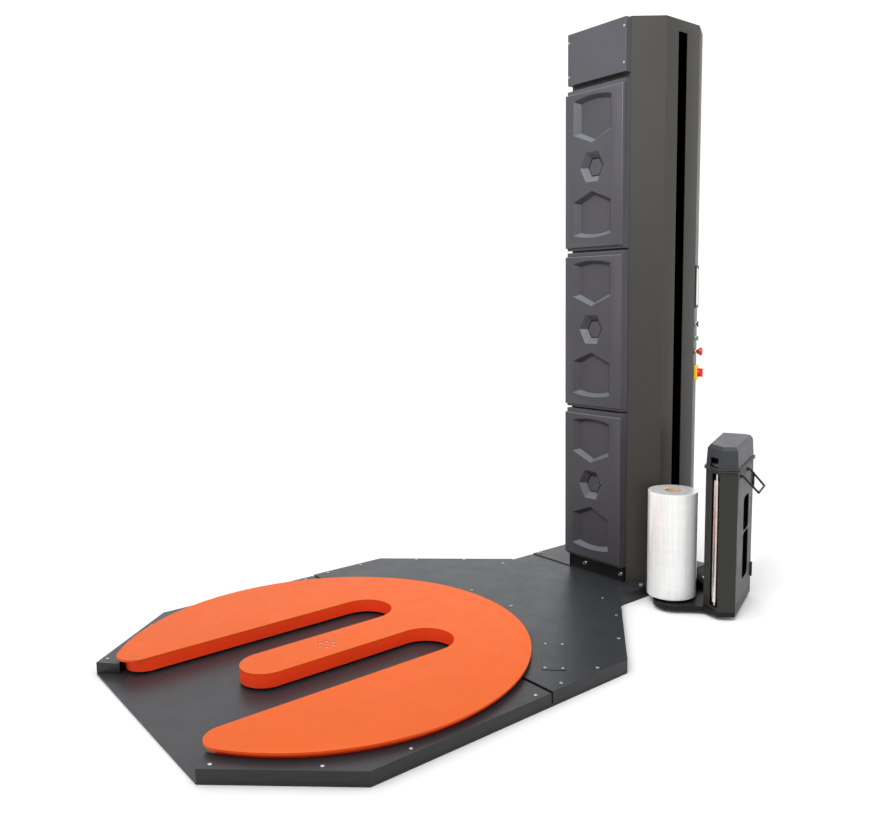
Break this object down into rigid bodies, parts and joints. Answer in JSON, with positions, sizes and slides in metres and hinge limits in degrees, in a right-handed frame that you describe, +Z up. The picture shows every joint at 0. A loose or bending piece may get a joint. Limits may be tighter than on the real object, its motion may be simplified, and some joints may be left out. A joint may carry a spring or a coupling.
{
  "type": "turntable pallet wrapper",
  "caption": "Floor-standing pallet wrapper: open-fronted turntable in a low octagonal base, a hollow mast with a lift slot, and a film carriage beside it.",
  "frame": {"origin": "on the turntable's vertical axis, at floor level", "axes": "+Y from the turntable towards the mast; +X towards the side that carries the film carriage; +Z up"},
  "size_m": [1.7394, 2.826, 2.72],
  "materials": {
    "base_paint": "satin powder coat",
    "table_paint": "satin powder coat",
    "mast_paint": "satin powder coat",
    "panel_plastic": "fine-grained moulded plastic",
    "black_paint": "fine-textured powder coat",
    "black_plastic": "fine grain",
    "zinc_steel": "zinc plated",
    "roller_steel": "turned and polished",
    "motor_paint": "gloss enamel",
    "chain_steel": "oiled",
    "rubber": "matt",
    "wheel_plastic": "cast nylon",
    "roller_rubber": "ground matt",
    "film": "stretch film in many layers",
    "cardboard": "wound paper tube",
    "yellow_plastic": "moulded",
    "red_plastic": "moulded",
    "green_plastic": "moulded",
    "cabinet_grey": "moulded housings on a zinc plate"
  },
  "bodies": {
    "base": {"floor_plate": "base_paint", "wing_right": "base_paint", "wing_left": "base_paint", "rear_deck": "base_paint", "access_hatch": "base_paint", "cover_screws": "zinc_steel", "mast_base": "base_paint", "mast_foot": "base_paint", "mast_fasteners": "zinc_steel", "centre_post": "zinc_steel", "drive_chain": "chain_steel", "drive_motor": "motor_paint", "mast_body": "mast_paint", "mast_cap": "mast_paint", "mast_plinth": "black_paint", "head_panel": "panel_plastic", "front_panel_lower": "panel_plastic", "front_panel_middle": "panel_plastic", "front_panel_upper": "panel_plastic", "guide_rails": "roller_steel", "slot_brushes": "rubber", "lift_belt": "rubber", "lift_drive": "motor_paint", "control_unit": "cabinet_grey", "service_hinges": "zinc_steel", "cable_gland": "black_plastic", "touch_screen": "black_plastic", "control_bezels": "yellow_plastic"},
    "turntable": {"table_top": "table_paint", "table_frame": "table_paint", "table_hub": "zinc_steel", "centre_bolts": "zinc_steel", "wheel_forks": "black_paint"},
    "drive_shaft": {"drive_sprocket": "zinc_steel"},
    "pulley_lower": {"lift_pulley_lower": "zinc_steel"},
    "pulley_upper": {"lift_pulley_upper": "zinc_steel"},
    "carriage": {"lift_trolley": "black_paint", "carriage_tray": "black_paint", "tower_housing": "black_paint", "tower_cap": "panel_plastic", "roller_motor": "motor_paint"},
    "tower_door": {"threading_door": "black_paint", "door_handle": "black_plastic"},
    "film": {"film_spindle": "black_plastic", "film_core": "cardboard", "film_roll": "film"},
    "exit_roller": {"steel_roller": "roller_steel"},
    "slow_roller": {"stretch_roller_slow": "roller_rubber"},
    "fast_roller": {"stretch_roller_fast": "roller_rubber"},
    "start": {"start_button": "black_plastic"},
    "reset": {"reset_button": "green_plastic"},
    "stop": {"emergency_stop": "red_plastic"},
    "isolator": {"main_switch": "red_plastic"},
    "rear_door": {"service_door": "mast_paint"},
    "wheel_1": {"support_wheel_1": "wheel_plastic"},
    "wheel_2": {"support_wheel_2": "wheel_plastic"},
    "wheel_3": {"support_wheel_3": "wheel_plastic"},
    "wheel_4": {"support_wheel_4": "wheel_plastic"},
    "wheel_5": {"support_wheel_5": "wheel_plastic"},
    "wheel_6": {"support_wheel_6": "wheel_plastic"}
  },
  "joints": [
    {"name": "turntable_spin", "type": "hinge", "parent": "base", "child": "turntable", "pos_m": [0, 0, 0.078], "axis": [0, 0, 1], "continuous": true},
    {"name": "wheel_1_spin", "type": "hinge", "parent": "turntable", "child": "wheel_1", "pos_m": [0.60406, 0.0849, 0.0343], "axis": [0.9903, 0.1392, 0], "continuous": true},
    {"name": "wheel_2_spin", "type": "hinge", "parent": "turntable", "child": "wheel_2", "pos_m": [0.28638, 0.5386, 0.0343], "axis": [0.4695, 0.8829, 0], "continuous": true},
    {"name": "wheel_3_spin", "type": "hinge", "parent": "turntable", "child": "wheel_3", "pos_m": [-0.28638, 0.5386, 0.0343], "axis": [-0.4695, 0.8829, 0], "continuous": true},
    {"name": "wheel_4_spin", "type": "hinge", "parent": "turntable", "child": "wheel_4", "pos_m": [-0.60406, 0.0849, 0.0343], "axis": [-0.9903, 0.1392, 0], "continuous": true},
    {"name": "wheel_5_spin", "type": "hinge", "parent": "turntable", "child": "wheel_5", "pos_m": [-0.48069, -0.37555, 0.0343], "axis": [-0.788, -0.6157, 0], "continuous": true},
    {"name": "wheel_6_spin", "type": "hinge", "parent": "turntable", "child": "wheel_6", "pos_m": [0.48069, -0.37555, 0.0343], "axis": [0.788, -0.6157, 0], "continuous": true},
    {"name": "drive_spin", "type": "hinge", "parent": "base", "child": "drive_shaft", "pos_m": [0, 1.7, 0.04], "axis": [0, 0, 1], "continuous": true},
    {"name": "carriage_lift", "type": "slide", "parent": "base", "child": "carriage", "axis": [0, 0, 1], "range_m": [0, 1.9]},
    {"name": "pulley_lower_spin", "type": "hinge", "parent": "base", "child": "pulley_lower", "pos_m": [0.26, 1.781, 0.3], "axis": [0, 1, 0], "continuous": true},
    {"name": "pulley_upper_spin", "type": "hinge", "parent": "base", "child": "pulley_upper", "pos_m": [0.26, 1.781, 2.59], "axis": [0, 1, 0], "continuous": true},
    {"name": "film_spin", "type": "hinge", "parent": "carriage", "child": "film", "pos_m": [0.497, 1.59, 0.3], "axis": [0, 0, 1], "continuous": true},
    {"name": "exit_roller_spin", "type": "hinge", "parent": "carriage", "child": "exit_roller", "pos_m": [0.74203, 1.5818, 0.36], "axis": [0, 0, 1], "continuous": true},
    {"name": "slow_roller_spin", "type": "hinge", "parent": "carriage", "child": "slow_roller", "pos_m": [0.70541, 1.69111, 0.36], "axis": [0, 0, 1], "continuous": true},
    {"name": "fast_roller_spin", "type": "hinge", "parent": "carriage", "child": "fast_roller", "pos_m": [0.67097, 1.77426, 0.36], "axis": [0, 0, 1], "continuous": true},
    {"name": "tower_door_hinge", "type": "hinge", "parent": "carriage", "child": "tower_door", "pos_m": [0.69625, 1.94709, 0.36], "axis": [0, 0, 1], "range_deg": [0, 100]},
    {"name": "start_press", "type": "slide", "parent": "base", "child": "start", "axis": [-0.8699, -0.4932, 0], "range_m": [0, 0.005], "stiffness_N_per_m": 300},
    {"name": "reset_press", "type": "slide", "parent": "base", "child": "reset", "axis": [-0.8699, -0.4932, 0], "range_m": [0, 0.005], "stiffness_N_per_m": 300},
    {"name": "stop_press", "type": "slide", "parent": "base", "child": "stop", "axis": [-0.8699, -0.4932, 0], "range_m": [0, 0.005]},
    {"name": "isolator_turn", "type": "hinge", "parent": "base", "child": "isolator", "pos_m": [0.3591, 1.9853, 1.067], "axis": [0.8699, 0.4932, 0], "range_deg": [0, 90]},
    {"name": "rear_door_hinge", "type": "hinge", "parent": "base", "child": "rear_door", "pos_m": [-0.1055, 2.042, 1], "axis": [0, 0, 1], "range_deg": [0, 110]}
  ],
  "couplings": [
    {"joint": "wheel_1_spin", "follows": "turntable_spin", "ratio": -25.417},
    {"joint": "wheel_2_spin", "follows": "turntable_spin", "ratio": -25.417},
    {"joint": "wheel_3_spin", "follows": "turntable_spin", "ratio": -25.417},
    {"joint": "wheel_4_spin", "follows": "turntable_spin", "ratio": -25.417},
    {"joint": "wheel_5_spin", "follows": "turntable_spin", "ratio": -25.417},
    {"joint": "wheel_6_spin", "follows": "turntable_spin", "ratio": -25.417},
    {"joint": "drive_spin", "follows": "turntable_spin", "ratio": 2.3333},
    {"joint": "pulley_lower_spin", "follows": "carriage_lift", "rad_per_m": -31.348},
    {"joint": "pulley_upper_spin", "follows": "carriage_lift", "rad_per_m": -31.348},
    {"joint": "fast_roller_spin", "follows": "slow_roller_spin", "ratio": -1.7273}
  ]
}
